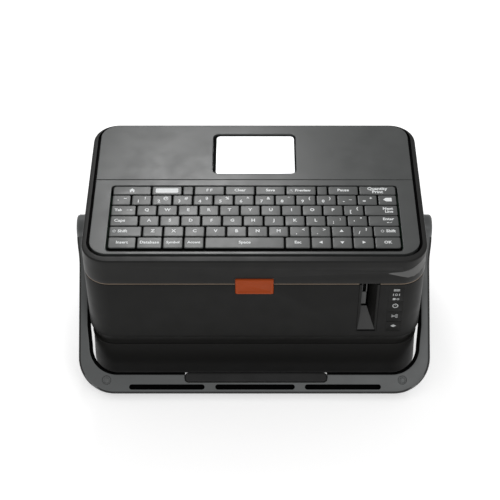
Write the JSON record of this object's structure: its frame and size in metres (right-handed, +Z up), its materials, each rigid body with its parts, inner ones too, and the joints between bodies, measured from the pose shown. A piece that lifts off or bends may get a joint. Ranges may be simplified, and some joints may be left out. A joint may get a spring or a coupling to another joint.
{
  "type": "label maker",
  "caption": "Portable label maker with a keyboard and display on its hinged lid, a battery base, a front label outlet and a folding carry handle.",
  "frame": {"origin": "on the floor, under the middle of the whole object with its handle folded down in front", "axes": "+X to the user's right along the keyboard, +Y to the rear hinge, +Z up"},
  "size_m": [0.3396, 0.221, 0.1607],
  "materials": {
    "top_plastic": "satin",
    "shell_plastic": "satin",
    "base_plastic": "matte",
    "key_plastic": "matte",
    "handle_plastic": "satin",
    "soft_rubber": "matte",
    "release_orange": "satin",
    "screen_white": "gloss",
    "lens_plastic": "gloss",
    "circuit_board": "satin",
    "cassette_plastic": "satin",
    "ribbon_plastic": "satin",
    "steel": "satin",
    "gear_plastic": "satin",
    "battery_wrap": "satin"
  },
  "bodies": {
    "base": {"base_housing": "base_plastic", "battery_door": "base_plastic", "battery_pack": "battery_wrap", "foot_front_left": "soft_rubber", "foot_front_right": "soft_rubber", "foot_rear_left": "soft_rubber", "foot_rear_right": "soft_rubber", "lower_shell": "shell_plastic", "pivot_pin_left": "steel", "pivot_pin_right": "steel", "hinge_pin_left": "steel", "hinge_pin_right": "steel", "outlet_guide": "shell_plastic", "indicator_lens": "lens_plastic", "latch_catch": "steel", "inner_deck": "base_plastic", "tape_cassette": "cassette_plastic", "ribbon_cassette": "ribbon_plastic", "print_head": "steel", "feed_motor": "steel", "main_board": "circuit_board", "port_plate": "base_plastic", "dc_jack": "soft_rubber", "usb_port": "steel"},
    "handle": {"handle_bail": "handle_plastic", "handle_grip": "soft_rubber", "handle_cap_left": "handle_plastic", "handle_cap_right": "handle_plastic"},
    "lid": {"lid_cover": "top_plastic", "keyboard_panel": "top_plastic", "display_panel": "top_plastic", "display_window": "screen_white", "display_module": "steel", "keyboard_board": "circuit_board", "lid_liner": "base_plastic", "latch_hook": "steel"},
    "release": {"release_button": "release_orange"},
    "power": {"power_button": "shell_plastic"},
    "cut": {"cut_button": "shell_plastic"},
    "feed": {"feed_button": "shell_plastic"},
    "cutter": {"cutter_blade": "steel"},
    "platen": {"platen_shaft": "steel", "platen_roller": "soft_rubber", "platen_gear": "gear_plastic"},
    "pinion": {"motor_pinion": "gear_plastic"},
    "bottom_left_body": {"keys_bottom_left": "key_plastic"},
    "space_body": {"key_space": "key_plastic"},
    "arrows_body": {"keys_arrows": "key_plastic"},
    "ok_body": {"key_ok": "key_plastic"},
    "shift_left_body": {"key_shift_left": "key_plastic"},
    "lower_body": {"keys_lower": "key_plastic"},
    "shift_right_body": {"key_shift_right": "key_plastic"},
    "home_row_body": {"keys_home_row": "key_plastic"},
    "enter_body": {"key_enter": "key_plastic"},
    "upper_body": {"keys_upper": "key_plastic"},
    "digits_body": {"keys_digits": "key_plastic"},
    "backspace_body": {"key_backspace": "key_plastic"},
    "home_body": {"key_home": "key_plastic"},
    "function_body": {"keys_function": "key_plastic"},
    "print_body": {"key_print": "key_plastic"}
  },
  "joints": [
    {"name": "handle_turn", "type": "hinge", "parent": "base", "child": "handle", "pos_m": [0, 0.0125, 0.1105], "axis": [-1, 0, 0], "range_deg": [0, 263]},
    {"name": "lid_open", "type": "hinge", "parent": "base", "child": "lid", "pos_m": [0, 0.1065, 0.1303], "axis": [-1, 0, 0], "range_deg": [0, 95]},
    {"name": "release_push", "type": "slide", "parent": "base", "child": "release", "axis": [0, 1, 0], "range_m": [0, 0.0025], "stiffness_N_per_m": 400, "springref_m": -0.002},
    {"name": "power_press", "type": "slide", "parent": "base", "child": "power", "axis": [0, 1, 0], "range_m": [0, 0.0006], "stiffness_N_per_m": 500, "springref_m": -0.001},
    {"name": "cut_press", "type": "slide", "parent": "base", "child": "cut", "axis": [0, 1, 0], "range_m": [0, 0.0006], "stiffness_N_per_m": 500, "springref_m": -0.001},
    {"name": "feed_press", "type": "slide", "parent": "base", "child": "feed", "axis": [0, 1, 0], "range_m": [0, 0.0006], "stiffness_N_per_m": 500, "springref_m": -0.001},
    {"name": "cutter_stroke", "type": "slide", "parent": "base", "child": "cutter", "axis": [-1, 0, 0], "range_m": [0, 0.008]},
    {"name": "platen_spin", "type": "hinge", "parent": "base", "child": "platen", "pos_m": [0.1097, -0.0275, 0.07], "axis": [0, 0, 1], "continuous": true},
    {"name": "pinion_spin", "type": "hinge", "parent": "base", "child": "pinion", "pos_m": [0.1237, -0.0135, 0.07], "axis": [0, 0, 1], "continuous": true},
    {"name": "keys_bottom_left_press", "type": "slide", "parent": "lid", "child": "bottom_left_body", "axis": [0, 0, -1], "range_m": [0, 0.002], "stiffness_N_per_m": 300, "springref_m": -0.002},
    {"name": "key_space_press", "type": "slide", "parent": "lid", "child": "space_body", "axis": [0, 0, -1], "range_m": [0, 0.002], "stiffness_N_per_m": 300, "springref_m": -0.002},
    {"name": "keys_arrows_press", "type": "slide", "parent": "lid", "child": "arrows_body", "axis": [0, 0, -1], "range_m": [0, 0.002], "stiffness_N_per_m": 300, "springref_m": -0.002},
    {"name": "key_ok_press", "type": "slide", "parent": "lid", "child": "ok_body", "axis": [0, 0, -1], "range_m": [0, 0.002], "stiffness_N_per_m": 300, "springref_m": -0.002},
    {"name": "key_shift_left_press", "type": "slide", "parent": "lid", "child": "shift_left_body", "axis": [0, 0, -1], "range_m": [0, 0.002], "stiffness_N_per_m": 300, "springref_m": -0.002},
    {"name": "keys_lower_press", "type": "slide", "parent": "lid", "child": "lower_body", "axis": [0, 0, -1], "range_m": [0, 0.002], "stiffness_N_per_m": 300, "springref_m": -0.002},
    {"name": "key_shift_right_press", "type": "slide", "parent": "lid", "child": "shift_right_body", "axis": [0, 0, -1], "range_m": [0, 0.002], "stiffness_N_per_m": 300, "springref_m": -0.002},
    {"name": "keys_home_row_press", "type": "slide", "parent": "lid", "child": "home_row_body", "axis": [0, 0, -1], "range_m": [0, 0.002], "stiffness_N_per_m": 300, "springref_m": -0.002},
    {"name": "key_enter_press", "type": "slide", "parent": "lid", "child": "enter_body", "axis": [0, 0, -1], "range_m": [0, 0.002], "stiffness_N_per_m": 300, "springref_m": -0.002},
    {"name": "keys_upper_press", "type": "slide", "parent": "lid", "child": "upper_body", "axis": [0, 0, -1], "range_m": [0, 0.002], "stiffness_N_per_m": 300, "springref_m": -0.002},
    {"name": "keys_digits_press", "type": "slide", "parent": "lid", "child": "digits_body", "axis": [0, 0, -1], "range_m": [0, 0.002], "stiffness_N_per_m": 300, "springref_m": -0.002},
    {"name": "key_backspace_press", "type": "slide", "parent": "lid", "child": "backspace_body", "axis": [0, 0, -1], "range_m": [0, 0.002], "stiffness_N_per_m": 300, "springref_m": -0.002},
    {"name": "key_home_press", "type": "slide", "parent": "lid", "child": "home_body", "axis": [0, 0, -1], "range_m": [0, 0.002], "stiffness_N_per_m": 300, "springref_m": -0.002},
    {"name": "keys_function_press", "type": "slide", "parent": "lid", "child": "function_body", "axis": [0, 0, -1], "range_m": [0, 0.002], "stiffness_N_per_m": 300, "springref_m": -0.002},
    {"name": "key_print_press", "type": "slide", "parent": "lid", "child": "print_body", "axis": [0, 0, -1], "range_m": [0, 0.002], "stiffness_N_per_m": 300, "springref_m": -0.002}
  ],
  "couplings": [
    {"joint": "pinion_spin", "follows": "platen_spin", "ratio": -2}
  ]
}
